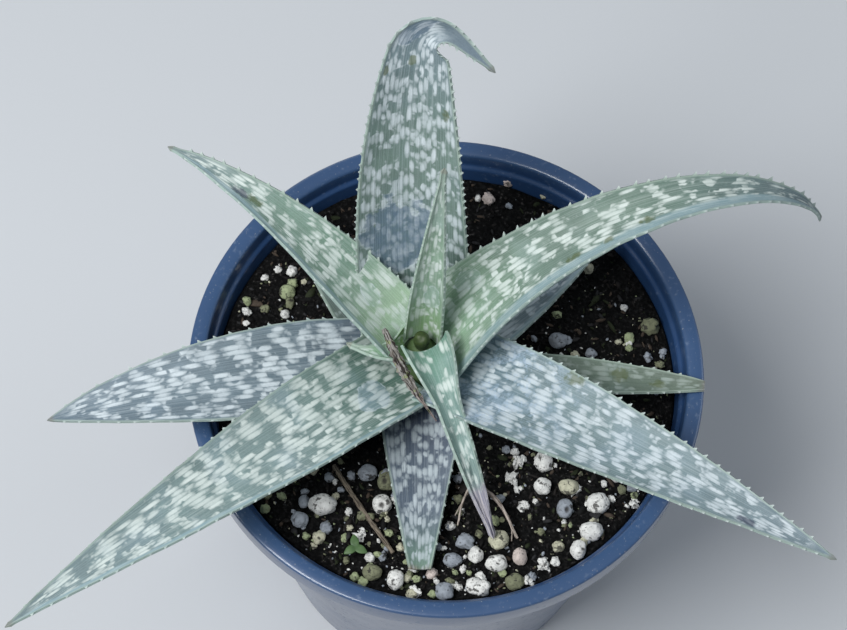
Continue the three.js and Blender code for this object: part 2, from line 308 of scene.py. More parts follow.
hole_rings = [hole_circle + offset * hole_radius for offset in (-1, -0.45, 0.45, 1)]
skirt_foot = rim_height - skirt_drop
under_rim = rim_height - wall
below_step = step_height - 1 * mm
pot_shape = spun(
    rounded(
        [(0, 0, 0), (channel_inner, 0, 1 * mm), (channel_inner + 1.5 * mm, channel_height, 1 * mm)]
        + [(ring, channel_height, 0) for ring in hole_rings]
        + [
            (channel_outer - 1.5 * mm, channel_height, 1 * mm),
            (channel_outer, 0, 1 * mm),
            (foot_radius, 0, 1.2 * mm),
            (wall_outside(below_step), below_step, 0.5 * mm),
            (wall_outside(step_height), step_height, 0.5 * mm),
            (wall_outside(under_rim), under_rim, 0.8 * mm),
            (rim_radius - skirt_wall, under_rim, 0.8 * mm),
            (rim_radius - skirt_wall, skirt_foot, 0.4 * mm),
            (rim_radius - 0.4 * mm, skirt_foot, 0.5 * mm),
            (rim_radius, rim_height - 0.3 * mm, 0.9 * mm),
            (rim_radius - rim_band / 2, rim_height, 1.5 * mm),
            (rim_inside, rim_height - 0.5 * mm, 1 * mm),
            (wall_outside(step_height) - wall, step_height, 0.6 * mm),
            (wall_outside(below_step) - wall, below_step, 0.6 * mm),
            (wall_outside(pot_floor) - wall, pot_floor, 3 * mm),
        ]
        + [(ring, pot_floor, 0) for ring in reversed(hole_rings)]
        + [(0, pot_floor, 0)]
    ),
    pot_steps,
)
for number in range(hole_count):
    angle = 2 * math.pi * number / hole_count
    middle = Vector((math.cos(angle), math.sin(angle), 0)) * hole_circle

    def from_hole(place):
        return (Vector((place.x, place.y, 0)) - middle).length

    covers = [
        face
        for face in pot_shape.faces
        if from_hole(face.calc_center_median()) < 1.2 * hole_radius
        and hole_rings[0] < face.calc_center_median().xy.length < hole_rings[-1]
    ]
    bmesh.ops.delete(pot_shape, geom=covers, context="FACES")
    rims = [edge for edge in pot_shape.edges if edge.is_boundary]
    lips = [edge for edge in rims if from_hole(edge.verts[0].co) < 2 * hole_radius]
    for vert in {vert for edge in lips for vert in edge.verts}:
        outward = Vector((vert.co.x, vert.co.y, 0)) - middle
        round_place = middle + outward.normalized() * hole_radius
        vert.co = (round_place.x, round_place.y, vert.co.z)
    bmesh.ops.bridge_loops(pot_shape, edges=lips)

plastic = Finish("pot_plastic", 0.5, Coat_Weight=0.6, Coat_Roughness=0.16)
mottle = plastic.cloud(12 * mm, 3)
scuffed_area = plastic.rise(plastic.cloud(9 * mm, 2), 0.42, 0.6)
scuffs = plastic.rise(plastic.cloud(1.6 * mm, 5), 0.56, 0.72) * scuffed_area
near_top = plastic.rise(plastic.part("Z"), rim_height - 4 * mm, rim_height - 0.5 * mm)
specks = plastic.rise(plastic.cloud(0.7 * mm, 1), 0.7, 0.76) * near_top
blue = plastic.blend(mottle, (0.014, 0.046, 0.13), (0.027, 0.07, 0.175))
# Painted highlight: the top few millimetres, the rim band, are painted a lighter blue than the wall,
# where light falls on the rim.
blue = plastic.blend(near_top * 0.5, blue, (0.055, 0.11, 0.22))
blue = plastic.blend(scuffs * 0.4, blue, (0.16, 0.22, 0.32))
blue = plastic.blend(specks * 0.6, blue, (0.33, 0.34, 0.35))
skin_grain = plastic.cloud(0.5 * mm, 3)
plastic.paint(blue, 0.28 + 0.16 * mottle + 0.25 * scuffs, skin_grain + scuffs, 0.03 * mm)
add_piece(pot_shape, "moulded_pot", plastic, "pot_plastic", "pot", sharp=35)


# The potting mix
# Dark peat and fine bark, pressed into the pot and left rough on top, with bark crumbs,
# a few bark chips and small bits of perlite lying loose on it.
mix_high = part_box("potting_mix")[1]
mix_top = mix_high.z
mix_radius = mix_high.x
ring_gap = 1.25 * mm
rings = int(mix_radius / ring_gap)
lump_size = 7 * mm
crumb_size = 2.4 * mm


def mix_height(x, y):
    """How high the rough top of the mix is at a place."""
    place = Vector((x, y, 0))
    lumps = noise.noise(place / lump_size) * 0.9 * mm
    crumbs = noise.noise(place / crumb_size + Vector((7, 3, 1))) * 0.6 * mm
    return mix_top + lumps + crumbs - 0.3 * mm


mix_outline = [
    Vector((0, pot_floor)),
    Vector((wall_outside(pot_floor) - wall - 3 * mm, pot_floor)),
    Vector((wall_outside(pot_floor) - wall - 0.1 * mm, pot_floor + 3 * mm)),
    Vector((mix_radius + 0.3 * mm, mix_top - 2 * mm)),
]
mix_outline += [Vector((ring * ring_gap, mix_top)) for ring in range(rings, -1, -1)]
mix_shape = spun(mix_outline, pot_steps)
for vert in mix_shape.verts:
    if vert.co.z > mix_top - 0.1 * mm:
        vert.co.z = mix_height(vert.co.x, vert.co.y)

peat = Finish("peat_and_bark", 0.12)
crumb = peat.cloud(1.1 * mm, 5)
patch = peat.cloud(6 * mm, 3)
# Painted shade and highlights over dark peat: the colour follows the bump and is near black in its
# hollows. The highest crumbs are lighter, partly for bits of bark and partly as painted highlights.
shaded_peat = peat.blend(peat.rise(crumb, 0.4, 0.7), (0.0012, 0.0012, 0.0012), (0.01, 0.01, 0.01))
shaded_peat = peat.blend(peat.rise(crumb, 0.6, 0.7) * peat.rise(patch, 0.4, 0.6), shaded_peat, (0.06, 0.055, 0.052))
peat.paint(shaded_peat, 0.7 + 0.2 * crumb, crumb + 0.5 * peat.cloud(0.4 * mm, 3), 0.6 * mm)
add_piece(mix_shape, "potting_mix_body", peat, "potting_mix", "potting_mix", sharp=70)


def crumbs(name, lots, finish, slot, fineness):
    """Joins many small lumps in one piece. Each lot has a place, radii, a tint and a lumpiness."""
    shape = bmesh.new()
    shape.verts.layers.float_color.new("tint")
    lump_mesh = bpy.data.meshes.new("lump")
    for place, radii, colour, lumpiness in lots:
        axis = Vector((random.random(), random.random(), 1))
        spin_round = Matrix.Rotation(random.uniform(0, 6), 4, axis)
        seed = Vector((random.uniform(-50, 50), 0, 0))
        lump = bmesh.new()
        tint = lump.verts.layers.float_color.new("tint")
        bmesh.ops.create_icosphere(lump, subdivisions=fineness, radius=1)
        for vert in lump.verts:
            vert.co *= 1 + lumpiness * noise.noise(vert.co * 1.7 + seed)
            vert[tint] = (*colour, 1)
        bmesh.ops.scale(lump, verts=lump.verts, vec=radii)
        bmesh.ops.transform(lump, verts=lump.verts, matrix=Matrix.Translation(place) @ spin_round)
        lump.to_mesh(lump_mesh)
        lump.free()
        shape.from_mesh(lump_mesh)
    bpy.data.meshes.remove(lump_mesh)
    add_piece(shape, name, finish, slot, sharp=80)


random.seed(11)
stem_low, stem_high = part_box("stem")
stem_middle = (stem_low + stem_high) / 2
stem_clearance = 14 * mm
bark_crumb_count = 2600
bark_chip_count = 110


def loose_place(margin):
    """A random place on the mix, away from the stem."""
    while True:
        x, y = random.uniform(-1, 1) * mix_radius, random.uniform(-1, 1) * mix_radius
        clear = (Vector((x, y)) - stem_middle.xy).length > stem_clearance
        if clear and math.hypot(x, y) < mix_radius - margin:
            return Vector((x, y, mix_height(x, y)))


bark_tints = [
    (0.004, 0.004, 0.004), (0.006, 0.005, 0.005), (0.014, 0.012, 0.011), (0.024, 0.024, 0.025),
    (0.06, 0.045, 0.034), (0.02, 0.026, 0.012),
]
bark_bits = []
for number in range(bark_crumb_count):
    size = random.uniform(0.25, 1.05) * mm
    spans = ((1, 2.2), (0.5, 1), (0.3, 0.7))
    radii = [size * random.uniform(*span) for span in spans]
    bark_bits.append((loose_place(1.5 * mm), radii, random.choice(bark_tints), 0.5))
for number in range(bark_chip_count):
    size = random.uniform(1.2, 2.6) * mm
    radii = (size * 1.3, size * 0.7, size * 0.3)
    bark_bits.append((loose_place(3.5 * mm), radii, random.choice(bark_tints), 0.6))

tinted = Finish("bark_crumb", 0.2)
flake = tinted.cloud(0.5 * mm, 3)
tinted.paint(tinted.shade(tinted.read("tint", "Color"), 0.5 + 1.1 * flake), 0.75, flake, 0.15 * mm)
crumbs("loose_bark", bark_bits, tinted, "potting_mix", 1)


# The perlite
# Grains of expanded white mineral with small pits. Some have gone grey, green or yellow
# with algae and dust. The largest are nodes, and the small ones are joined in a few pieces.
white = (0.74, 0.74, 0.71)
grey = (0.3, 0.33, 0.37)
yellow = (0.52, 0.51, 0.38)
green = (0.33, 0.38, 0.22)
olive = (0.2, 0.21, 0.13)
pink = (0.58, 0.5, 0.46)
grain_tints = [
    white, grey, grey, grey, olive, white, olive, white, grey, grey, white, yellow, white,
    pink, white, olive, white, white, yellow, grey, white, white, white, green, grey,
]
holed_grains = (5, 6, 15, 20)

pitted = Finish("perlite", 0.3)
dust = pitted.cloud(1.5 * mm, 4)
fine_pits = pitted.rise(pitted.cloud(0.5 * mm, 2), 0.4, 0.3)
# Painted shade: the pits and large holes of the white grains are painted nearly black, and the fine pits
# grey.
pit_shade = pitted.read("pit")
grain_colour = pitted.shade(pitted.read("tint", "Color"), 0.6 + 0.75 * dust)
grain_colour = pitted.blend(pit_shade * 0.9, grain_colour, (0.03, 0.027, 0.025))
grain_colour = pitted.blend(fine_pits * 0.5, grain_colour, (0.1, 0.1, 0.09))
dirt = pitted.rise(pitted.cloud(2.2 * mm, 4), 0.41, 0.35)
grain_colour = pitted.blend(dirt * 0.85, grain_colour, (0.03, 0.028, 0.026))
pitted.paint(grain_colour, 0.85, dust - fine_pits, 0.15 * mm)


def perlite_grain(middle, radius, colour, seed, holed):
    """A rounded lumpy grain with a few pits pushed into it, and one large hole if holed."""
    shape = bmesh.new()
    tint = shape.verts.layers.float_color.new("tint")
    pit = shape.verts.layers.float.new("pit")
    bmesh.ops.create_icosphere(shape, subdivisions=4, radius=1)
    offset = Vector((seed * 3.7, seed * 1.3, seed * 0.7))
    hole_side = Vector((math.sin(seed) * 0.3, -0.45, 1)).normalized()
    for vert in shape.verts:
        direction = vert.co.copy()
        lumps = 1
        for height, fineness in ((0.17, 1.3), (0.06, 3.2), (0.025, 8)):
            lumps += height * noise.noise(direction * fineness + offset)
        hollow = max(0, 1 - noise.voronoi(direction * 1.7 + offset)[0][0] / 0.17)
        if holed:
            hollow = max(hollow, 1.6 * (1 - (direction - hole_side).length / 0.42))
        vert.co = middle + direction * radius * (lumps - 0.2 * hollow)
        # How deep the pit is here, which the perlite finish paints dark as painted shade.
        vert[pit] = min(1, 1.4 * hollow)
        vert[tint] = (*colour, 1)
    longer = 0.12 * math.sin(seed * 2.1)
    stretch = (1 + longer, 1 - longer, 0.9)
    bmesh.ops.scale(shape, verts=shape.verts, vec=stretch, space=Matrix.Translation(-middle))
    return shape


for number, colour in enumerate(grain_tints, 1):
    node = f"perlite_grain_{number}"
    low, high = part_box(node)
    holed = number in holed_grains
    grain = perlite_grain((low + high) / 2, (high.x - low.x) / 2, colour, number, holed)
    add_piece(grain, f"grain_{number}", pitted, "perlite", node, sharp=60)


def on_mix(pixel_x, pixel_y):
    """The place on the mix that a pixel of the photograph shows."""
    line = sight_line(pixel_x, pixel_y)
    place = eye + line * ((mix_top - eye.z) / line.z)
    place.z = mix_height(place.x, place.y)
    return place


# Small grains, each by its pixel in the photograph, its radius in pixels and its tint
pixels_per_mm = 3.2
small_grains = [
    (326, 528, 7, grey), (282, 497, 5, green), (265, 509, 5, green), (319, 538, 7, yellow),
    (395, 500, 5, white), (329, 478, 5, grey), (370, 558, 5, white), (401, 548, 5, yellow),
    (306, 536, 4, green), (355, 577, 5, green), (363, 582, 5, green), (372, 571, 7, olive),
    (406, 562, 3, green), (432, 574, 6, pink), (446, 593, 6, white), (412, 594, 6, yellow),
    (433, 594, 5, green), (463, 569, 4, white), (480, 576, 5, white), (481, 589, 9, white),
    (558, 547, 6, yellow), (543, 562, 5, white), (555, 562, 5, white), (450, 526, 5, white),
    (278, 270, 4, white), (292, 272, 6, white), (265, 277, 4, white), (293, 284, 6, green),
    (289, 292, 6, green), (247, 302, 5, green), (290, 304, 6, olive), (247, 312, 5, white),
    (265, 309, 5, olive), (285, 314, 5, white), (304, 282, 3, yellow), (575, 356, 5, yellow),
    (591, 354, 6, grey), (588, 269, 6, yellow), (650, 327, 9, olive), (629, 339, 6, green),
    (624, 308, 4, white), (488, 200, 7, pink), (508, 182, 6, pink), (478, 199, 4, white),
    (544, 196, 4, yellow), (509, 207, 4, grey), (663, 352, 4, grey), (351, 476, 5, grey),
    (388, 478, 9, grey), (466, 542, 9, grey), (629, 348, 4, green), (648, 358, 5, grey),
]
small_lots = []
for pixel_x, pixel_y, pixel_radius, colour in small_grains:
    radius = pixel_radius / pixels_per_mm * mm
    place = on_mix(pixel_x, pixel_y) + Vector((0, 0, radius * 0.4))
    small_lots.append((place, (radius, radius * 0.9, radius * 0.8), colour, 0.45))
crumbs("small_perlite", small_lots, pitted, "perlite", 3)

# Broken white flakes, which stand in small heaps
flake_heaps = [
    (518, 462), (538, 462), (550, 466), (509, 479), (517, 486), (544, 488), (524, 506), (362, 536),
    (575, 492), (590, 505), (612, 500), (632, 502), (545, 566), (528, 582), (455, 588), (415, 590),
]
flakes_in_heap = 5
flake_lots = []
for pixel_x, pixel_y in flake_heaps:
    for number in range(flakes_in_heap):
        shift = Vector((random.uniform(-1, 1), random.uniform(-1, 1), random.uniform(0.2, 1))) * 1.3 * mm
        size = random.uniform(0.7, 1.4) * mm
        radii = (size * 1.3, size * 0.75, size * 0.6)
        flake_lots.append((on_mix(pixel_x, pixel_y) + shift, radii, white, 0.9))
crumbs("perlite_flakes", flake_lots, pitted, "perlite", 2)

# Loose crumbs all over the mix, and middling grains, which lie thickest at the front
crumb_tints = [white, white, grey, grey, yellow, olive, olive, green]
crumb_count = 900
middling_count = 210


def strewn(count, margin, fade, sizes, lengths, width, height, lift, lumpiness):
    """Lots for crumbs at random places. They thin out to the back, between the ys of fade."""
    lots = []
    while len(lots) < count:
        place = loose_place(margin)
        if place.y < random.uniform(*fade) * mm:
            size = random.uniform(*sizes) * mm
            place.z += size * lift
            radii = (size * random.uniform(*lengths), size * width, size * height)
            lots.append((place, radii, random.choice(crumb_tints), lumpiness))
    return lots


crumb_lots = strewn(
    crumb_count, margin=1.5 * mm, fade=(-60, 70), sizes=(0.15, 0.6), lengths=(0.8, 1.6), width=0.8,
    height=0.6, lift=0, lumpiness=0.7,
)
crumbs("perlite_bits", crumb_lots, pitted, "perlite", 1)
middling_lots = strewn(
    middling_count, margin=2.5 * mm, fade=(-62, 30), sizes=(0.55, 1.5), lengths=(0.9, 1.3), width=1,
    height=0.8, lift=0.4, lumpiness=0.5,
)
crumbs("middling_perlite", middling_lots, pitted, "perlite", 3)


# The twig
# A thin dead twig that lies on the mix at the front left. Its bark is dry and ridged.
def swept(spine, radii, sides, flat=1, wobble=0):
    """A closed rod along a list of places, with a radius at each. flat squeezes its section."""
    shape = bmesh.new()
    layer = {name: shape.verts.layers.float.new(name) for name in ("turn_x", "turn_y", "along")}
    ring = bmesh.ops.create_circle(shape, segments=sides, radius=1)["verts"]
    start = [vert.co.copy() for vert in ring]
    travelled = 0
    for i, (place, radius) in enumerate(zip(spine, radii)):
        travelled += (place - spine[max(i - 1, 0)]).length / mm
        ahead = spine[min(i + 1, len(spine) - 1)] - spine[max(i - 1, 0)]
        frame_turn = ahead.to_track_quat("Z", "Y").to_matrix()
        if i > 0:
            edges = [edge for edge in shape.edges if edge.verts[0] in ring and edge.verts[1] in ring]
            grown = bmesh.ops.extrude_edge_only(shape, edges=edges)["geom"]
            fresh = [item for item in grown if isinstance(item, bmesh.types.BMVert)]
            order = {}
            for vert in fresh:
                partner = next(e.other_vert(vert) for e in vert.link_edges if e.other_vert(vert) in ring)
                order[ring.index(partner)] = vert
            ring = [order[k] for k in range(sides)]
        for k, vert in enumerate(ring):
            rough = 1 + wobble * noise.noise(start[k] * 1.5 + Vector((0, 0, i * 0.45)) + place * 900)
            spoke = Vector((start[k].x * rough, start[k].y * rough * flat, 0)) * radius
            vert.co = place + frame_turn @ spoke
            vert[layer["turn_x"]] = start[k].x
            vert[layer["turn_y"]] = start[k].y
            vert[layer["along"]] = travelled
    bmesh.ops.holes_fill(shape, edges=[edge for edge in shape.edges if edge.is_boundary], sides=0)
    bmesh.ops.recalc_face_normals(shape, faces=shape.faces)
    return shape


def smooth_line(knots, steps):
    """Places along a smooth curve through a few knots."""
    ends = [knots[0] * 2 - knots[1], *knots, knots[-1] * 2 - knots[-2]]
    line = []
    for i in range(len(knots) - 1):
        a, b, c, d = ends[i : i + 4]
        for step in range(steps):
            t = step / steps
            bow = (2 * a - 5 * b + 4 * c - d) * t**2 + (3 * b - a - 3 * c + d) * t**3
            line.append((2 * b + (c - a) * t + bow) / 2)
    return line + [knots[-1]]


twig_thick = 1.8 * mm
twig_height = mix_top + 1.25 * mm
twig_knots = [
    Vector((-33.5 * mm, -30 * mm, twig_height)),
    Vector((-25 * mm, -42.5 * mm, twig_height)),
    Vector((-14 * mm, -57.5 * mm, twig_height)),
]
twig_spine = smooth_line(twig_knots, 24)
twig_radii = [twig_thick / 2 * (0.85 + 0.25 * noise.noise(place * 300)) for place in twig_spine]


def strands(finish, fine, long):
    """Noise drawn out along a swept rod, in strands that run its length."""
    turn_x, turn_y, along = finish.read("turn_x"), finish.read("turn_y"), finish.read("along")
    sockets = {"X": turn_x * fine, "Y": turn_y * fine, "Z": along / long}
    spot = finish.node("CombineXYZ", {}, sockets, "Vector")
    return finish.node("TexNoise", {}, {"Vector": spot, "Scale": 1, "Detail": 4}, "Fac")


bark = Finish("twig_bark", 0.3)
ridges = strands(bark, 3, 3)
bark_colour = bark.blend(bark.rise(ridges, 0.35, 0.62), (0.05, 0.04, 0.03), (0.25, 0.21, 0.16))
bark.paint(bark_colour, 0.85, ridges, 0.3 * mm)
add_piece(swept(twig_spine, twig_radii, 10, wobble=0.35), "dead_twig", bark, "twig", "twig")


# The seedling
# A weed with three pointed leaves on a short stalk has come up at the front left.
weed_low, weed_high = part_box("weed_seedling")
weed_foot = Vector((-25.5 * mm, -57 * mm, 0))
lobe_length = 2.3 * mm
weed_shape = bmesh.new()
for turn_degrees in (100, 215, 335):
    lobe = bmesh.ops.create_uvsphere(weed_shape, u_segments=20, v_segments=12, radius=1)["verts"]
    for vert in lobe:
        vert.co.y *= 1 - 0.35 * (vert.co.x + 0.3) * abs(vert.co.x + 0.3)
        vert.co.z += 0.5 * vert.co.y**2 - 0.3 * vert.co.x**2
    bmesh.ops.scale(weed_shape, verts=lobe, vec=(lobe_length, lobe_length * 0.6, 0.4 * mm))
    out = Vector((lobe_length * 0.8, 0, weed_high.z - 0.5 * mm))
    around = Matrix.Rotation(math.radians(turn_degrees), 4, "Z")
    spread_out = Matrix.Translation(weed_foot) @ around @ Matrix.Translation(out)
    bmesh.ops.transform(weed_shape, verts=lobe, matrix=spread_out)
stalk = bmesh.ops.create_cone(
    weed_shape, segments=10, radius1=0.6 * mm, radius2=0.4 * mm, depth=4 * mm, cap_ends=True
)
stalk_middle = weed_foot + Vector((0, 0, weed_low.z + 2 * mm))
bmesh.ops.translate(weed_shape, verts=stalk["verts"], vec=stalk_middle)

weed_skin = Finish("seedling_leaf", 0.4)
tone = weed_skin.cloud(1.6 * mm, 3)
weed_skin.paint(weed_skin.blend(tone, (0.03, 0.075, 0.025), (0.11, 0.19, 0.07)), 0.5, tone, 0.1 * mm)
add_piece(weed_shape, "seedling", weed_skin, "seedling", "weed_seedling")


# The dried fibres
# Dry straw-coloured fibres hang from under the shrivelled leaf down to the mix.
fibre = Finish("dry_fibre", 0.3)
streak = strands(fibre, 2, 3)
straw = fibre.blend(fibre.rise(streak, 0.35, 0.6), (0.13, 0.1, 0.08), (0.55, 0.48, 0.42))
fibre.paint(straw, 0.8, streak, 0.1 * mm)

# Each fibre's name, thickness, nodes that it stands for, and route, in millimetres
fibres = [
    ("fibre_left", 0.9, ["dried_root_left"], [(9, -38, 139.4), (6.5, -42, 132), (5.3, -47.5, 126.8)]),
    ("fibre_right", 1.3, ["dried_root_right"], [(11, -38.5, 139.4), (18, -43, 133), (23.5, -51, 126.8)]),
    (
        "thin_fibre_1", 0.5, [],
        [(11.5, -39, 139.3), (17.5, -41.8, 134), (21.5, -48, 128), (21.8, -52, 126.6)],
    ),
    ("thin_fibre_2", 0.5, [], [(9.5, -38.8, 139), (7, -41, 133), (4.2, -45, 127)]),
]
for name, thick, nodes, route in fibres:
    spine = smooth_line([Vector(knot) * mm for knot in route], 14)
    radii = [thick * mm / 2 * (1 - 0.3 * i / len(spine)) for i in range(len(spine))]
    add_piece(swept(spine, radii, 8, wobble=0.4), name, fibre, "dried_root", *nodes)


# The stem
# A short fleshy stem with a rounded rootstock in the mix. The leaves hide nearly all of it.
stem_radius = (stem_high.x - stem_low.x) / 2
stem_outline = rounded(
    [
        (0, stem_low.z, 0),
        (stem_radius * 0.5, stem_low.z + 1 * mm, 1 * mm),
        (stem_radius * 0.9, stem_low.z + 8 * mm, 3 * mm),
        (stem_radius, mix_top - 2 * mm, 3 * mm),
        (stem_radius * 0.9, mix_top + 10 * mm, 3 * mm),
        (stem_radius * 0.5, stem_high.z - 3 * mm, 2 * mm),
        (stem_radius * 0.3, stem_high.z, 1 * mm),
        (0, stem_high.z, 0),
    ]
)
stem_skin = Finish("stem_skin", 0.35)
scar = stem_skin.cloud(2.5 * mm, 4)
stem_skin.paint(stem_skin.blend(scar, (0.05, 0.09, 0.03), (0.13, 0.2, 0.08)), 0.6, scar, 0.2 * mm)
stem_place = Vector((stem_middle.x, stem_middle.y, 0))
add_piece(spun(stem_outline, 40, stem_place), "short_stem", stem_skin, "stem", "stem")


# The bud
# The newest leaf is still rolled up tight, and its round dark top shows in the middle.
bud_low, bud_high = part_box("new_leaf_bud")
bud_radius = (bud_high.x - bud_low.x) / 2
bud_outline = rounded(
    [
        (0, bud_low.z, 0),
        (bud_radius * 0.75, bud_low.z, 0.5 * mm),
        (bud_radius, (bud_low.z + bud_high.z) / 2, 2 * mm),
        (bud_radius * 0.8, bud_high.z - 0.6 * mm, 1.6 * mm),
        (0, bud_high.z, 0),
    ]
)
bud_shape = spun(bud_outline, 36, stem_place)
for vert in bud_shape.verts:
    arm = vert.co.xy - stem_middle.xy
    furl = math.sin(math.atan2(arm.y, arm.x) * 2 + arm.length / bud_radius * 4)
    vert.co.z += 0.22 * mm * furl * (vert.co.z > bud_high.z - 2 * mm)

bud_skin = Finish("bud_skin", 0.5)
flush = bud_skin.cloud(1.4 * mm, 3)
bud_skin.paint(bud_skin.blend(flush, (0.012, 0.026, 0.006), (0.065, 0.1, 0.025)), 0.55, flush, 0.15 * mm)
add_piece(bud_shape, "rolled_bud", bud_skin, "young_leaf", "new_leaf_bud")


# The dried leaf
# The narrow, shrunken remains of an old leaf lie over the crown. They are cracked and
# grey at the upper end, and pinkish beige lower down.
dried_route = [(-19.5, 3.5, 157), (-14.5, -6.5, 155), (-10, -13, 151.5), (-2.5, -21, 145)]
dried_thick = 1.6 * mm
dried_spine = smooth_line([Vector(knot) * mm for knot in dried_route], 26)
dried_radii = []
for i, place in enumerate(dried_spine):
    share = i / (len(dried_spine) - 1)
    swell = 0.45 + 0.6 * math.sin(math.pi * min(1, share * 1.15)) - 0.35 * share**4
    dried_radii.append(dried_thick * swell)
dried_shape = swept(dried_spine, dried_radii, 24, flat=0.4, wobble=0.5)

husk = Finish("dry_leaf_husk", 0.3)
husk_lines = strands(husk, 3.5, 6)
down = husk.rise(husk.part("Z"), 153 * mm, 146 * mm)
husk_colour = husk.blend(husk.rise(husk_lines, 0.35, 0.62), (0.1, 0.085, 0.07), (0.38, 0.36, 0.34))
pinkish = husk.blend(husk.rise(husk_lines, 0.35, 0.6), (0.2, 0.12, 0.1), (0.62, 0.53, 0.5))
husk_colour = husk.blend(down, husk_colour, pinkish)
green_patch = husk.rise(husk.cloud(1.8 * mm, 2), 0.55, 0.66)
husk_colour = husk.blend(green_patch * 0.7, husk_colour, (0.3, 0.36, 0.14))
cracks = husk.rise(strands(husk, 2.5, 3), 0.46, 0.38)
husk_colour = husk.blend(cracks * 0.9, husk_colour, (0.02, 0.012, 0.01))
husk.paint(husk_colour, 0.85, husk_lines - cracks, 0.5 * mm)
add_piece(dried_shape, "dried_leaf_remains", husk, "dried_leaf", "dried_leaf")


# The leaves
# Each is a fleshy channelled blade with a thin pale margin and small white teeth, and is
# grown from the stem along a curved path. Pale dashes lie in lanes between its fine veins.
edge_thick = 0.8 * mm
tip_half_width = 0.6 * mm
row_gap = 1.2 * mm
half_around = 24
tooth_lean = 0.7
tooth_point = 0.12
spike_length = 1.6 * mm
margin_tint = (0.42, 0.52, 0.44)
tooth_tint = (0.62, 0.68, 0.66)
dead_tip_tint = (0.2, 0.15, 0.12)
wax_ring_tint = (0.66, 0.73, 0.78)
leaf_layers = ("lane", "along", "edge", "upper", "share", "tooth")


def soft_step(values, low, high):
    share = np.clip((values - low) / (high - low), 0, 1)
    return share * share * (3 - 2 * share)


def leaf_path(rows, azimuth, height, reach, length, pitch, droop, swerve, end, hook):
    """Places along a leaf, with its forward, sideways and upward directions there."""
    t = np.linspace(0, end, rows + 1)
    base, middle, tip = pitch
    slope = np.radians(middle + (base - middle) * (1 - t) ** 6 + (tip - middle) * t**droop)
    bearing = np.radians(azimuth + swerve * t)
    along = np.stack([np.cos(slope) * np.cos(bearing), np.cos(slope) * np.sin(bearing), np.sin(slope)], 1)
    side = np.stack([np.sin(bearing), -np.cos(bearing), 0 * t], 1)
    up = np.cross(side, along)
    if hook:
        bent = np.radians(hook["turn"] * soft_step(t, hook["from"], hook["to"]))[:, None]
        cos, sin = np.cos(bent), np.sin(bent)
        along, side = along * cos - side * sin, side * cos + along * sin
    foot = math.radians(azimuth)
    first = np.array([stem_middle.x, stem_middle.y, rim_height + height * mm])
    first = first + np.array([math.cos(foot), math.sin(foot), 0]) * reach * mm
    strides = along[:-1] * length * mm * end / rows
    return t, first + np.concatenate([np.zeros((1, 3)), np.cumsum(strides, 0)]), along, side, up


